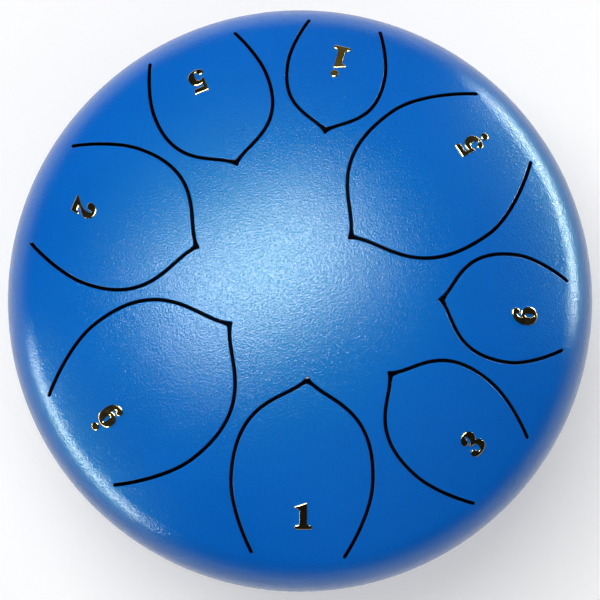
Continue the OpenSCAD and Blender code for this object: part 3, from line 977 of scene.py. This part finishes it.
def powder_coat(name, light, dark):
    """Powder coat: deep blue pigment with a soft azure sheen under a clear skin with a fine grain."""
    finish = Finish(name, IOR=1.4, Specular_Tint=COAT_SHEEN, Coat_IOR=1.5, Coat_Roughness=COAT_ROUGH)
    clouds = finish.noise(CLOUDS, detail=3)
    specks = finish.noise(SPECKS, detail=1)
    share = finish.span(finish.sum(clouds, specks, SPECK_SHARE), 0, 1, *CLOUD_RANGE)
    finish.show("Base Color", finish.colours(share, dark, light))
    finish.show("Roughness", finish.span(clouds, *SHEEN_ROUGH))
    finish.show("Coat Weight", finish.span(finish.noise(PITS, detail=1), *COAT_WEIGHT, *PIT_RANGE))
    grain = finish.sum(finish.noise(PEEL_FINE, detail=1), finish.cells(PEEL_COARSE), COARSE_SHARE)
    finish.bump(grain, PEEL_H * MM, ("Normal", "Coat Normal"))
    return finish.material


def mottled(name, colours, clouds, rough, patches, grain, grain_h, **sockets):
    """A finish whose colour and roughness drift between two values, under a fine grain."""
    finish = Finish(name, **sockets)
    finish.show("Base Color", finish.colours(finish.span(finish.noise(*clouds), 0, 1), *colours))
    finish.show("Roughness", finish.span(finish.noise(*patches), *rough))
    finish.bump(finish.noise(grain), grain_h * MM)
    return finish.material


def dark_primer():
    """The thin dark coat inside the shell."""
    return mottled("inner_primer", colours=((0.002, 0.010, 0.040), (0.004, 0.018, 0.065)), clouds=(60, 4),
                   rough=(0.55, 0.72), patches=(300, 2), grain=1400, grain_h=0.02, IOR=1.45)


def shaded_cut_edge():
    """The saw-cut edges: painted shade of the narrow cut, a near-black navy mottled with the dark brown of a
    painted glint, with a rim of coat.
    """
    return mottled("cut_edge_painted_shade", colours=((0.004, 0.005, 0.012), (0.022, 0.014, 0.012)), clouds=(700, 3),
                   rough=(0.45, 0.65), patches=(1500, 2), grain=2600, grain_h=0.02, IOR=1.5, Metallic=0.4)


def gold_brass():
    """Polished brass that has dulled a little in patches."""
    return mottled("numeral_brass", colours=((0.52, 0.41, 0.17), (0.70, 0.58, 0.28)), clouds=(420, 3),
                   rough=(0.10, 0.18), patches=(900, 3), grain=1300, grain_h=0.012, Metallic=1.0)


def moulded_rubber():
    """Matt black rubber, as it comes out of the mould."""
    return mottled("moulded_rubber", colours=((0.012, 0.012, 0.014), (0.026, 0.026, 0.029)), clouds=(180, 4),
                   rough=(0.62, 0.82), patches=(500, 2), grain=2400, grain_h=0.02, IOR=1.5)


def zinc_steel():
    """Zinc plating with a faintly uneven shine."""
    return mottled("zinc_plate", colours=((0.50, 0.51, 0.53), (0.68, 0.69, 0.71)), clouds=(350, 3),
                   rough=(0.22, 0.38), patches=(800, 3), grain=2200, grain_h=0.008, Metallic=1.0)


def make_camera():
    """The camera at the photograph's viewing angle."""
    camera = placed("camera", bpy.data.cameras.new("camera"))
    camera.data.sensor_width = SENSOR
    camera.data.lens = LENS_PX / FRAME_PX * SENSOR
    camera.location = (0, CAMERA_Y * MM, (RIM_Z + CAMERA_Z) * MM)
    camera.rotation_euler = (math.radians(90 - CAMERA_ELEVATION), 0, 0)
    bpy.context.scene.camera = camera


def make_lamp(name, direction, elevation, distance, long_dir, length, width, radiance, seen_by):
    """An area lamp in metres, facing the drum. Its length runs along long_dir."""
    lamp = bpy.data.lights.new(name, "AREA")
    lamp.shape = "RECTANGLE"
    lamp.size, lamp.size_y = length, width
    lamp.energy = radiance * math.pi * length * width
    away, along = heading(direction, elevation), heading(long_dir, 0)
    along = (along - along.dot(away) * away).normalized()
    holder = placed(name, lamp)
    holder.rotation_mode = "QUATERNION"
    holder.rotation_quaternion = Matrix((along, away.cross(along), away)).transposed().to_quaternion()
    holder.location = away * distance + Vector((0, 0, SEAM_Z * MM))
    holder.visible_diffuse = seen_by == "diffuse"
    holder.visible_glossy = seen_by == "glossy"
    holder.visible_camera = False


def make_world():
    """Grey at the horizon and dark above, with a faint warm patch that the numerals mirror."""
    world = bpy.data.worlds.new("studio")
    bpy.context.scene.world = world
    world.use_nodes = True
    sky = Nodes(world.node_tree)
    place = sky.node("ShaderNodeTexCoord").outputs["Generated"]
    up = sky.node("ShaderNodeSeparateXYZ", {0: place}).outputs["Z"]
    grey = sky.mix(sky.span(up, 0, 1, *WORLD_FADE, interpolation_type="SMOOTHSTEP"), WORLD_LOW, WORLD_HIGH)
    patch = {0: place, 1: heading(GLOW_DIRECTION, GLOW_ELEVATION)}
    near = sky.node("ShaderNodeVectorMath", patch, operation="DOT_PRODUCT").outputs["Value"]
    share = sky.span(near, 0, 1, *GLOW_FADE, interpolation_type="SMOOTHSTEP")
    sky.feed("Background", "Color", sky.mix(share, grey, GLOW, blend_type="ADD"))


def make_floor():
    """A plain pale floor that keeps the drum's shadow."""
    corners = [(x * FLOOR_HALF, y * FLOOR_HALF, 0) for x, y in ((-1, -1), (1, -1), (1, 1), (-1, 1))]
    mesh = bpy.data.meshes.new("floor")
    mesh.from_pydata(corners, [], [(0, 1, 2, 3)])
    finish = Finish("pale_floor", Roughness=FLOOR_ROUGH, Specular_IOR_Level=0.0, Base_Color=FLOOR_TONE,
                    Emission_Color=(1, 1, 1, 1))
    rays = finish.node("ShaderNodeLightPath").outputs
    seen = rays["Is Camera Ray"]
    for other in ("Is Glossy Ray", "Is Transmission Ray"):
        seen = finish.node("ShaderNodeMath", {0: seen, 1: rays[other]}, operation="MAXIMUM").outputs[0]
    glow = finish.node("ShaderNodeMath", {0: seen, 1: FLOOR_GLOW}, operation="MULTIPLY").outputs[0]
    finish.show("Emission Strength", glow)
    mesh.materials.append(finish.material)
    placed("floor", mesh)


make_camera()
coat = powder_coat("blue_powder_coat", COAT_LIGHT, COAT_DARK)
weld_coat = powder_coat("weld_powder_coat", WELD_LIGHT, WELD_DARK)
# The cut edges' finish paints the shade of the narrow cuts in near-black navy, with a brown painted glint.
make_shells(coat, dark_primer(), shaded_cut_edge())
make_weld(weld_coat)
brass, rubber, zinc = gold_brass(), moulded_rubber(), zinc_steel()
for name in LABELS:
    make_label(name, brass)
for side in FOOT_DIRS:
    make_foot(side, rubber)
    make_screw(side, zinc)
for name in ("foot_washers", "foot_nuts"):
    dress(name, zinc)
make_world()
make_floor()
for name, settings in LAMPS.items():
    make_lamp(name, *settings)
bpy.context.scene.view_settings.view_transform = "Standard"
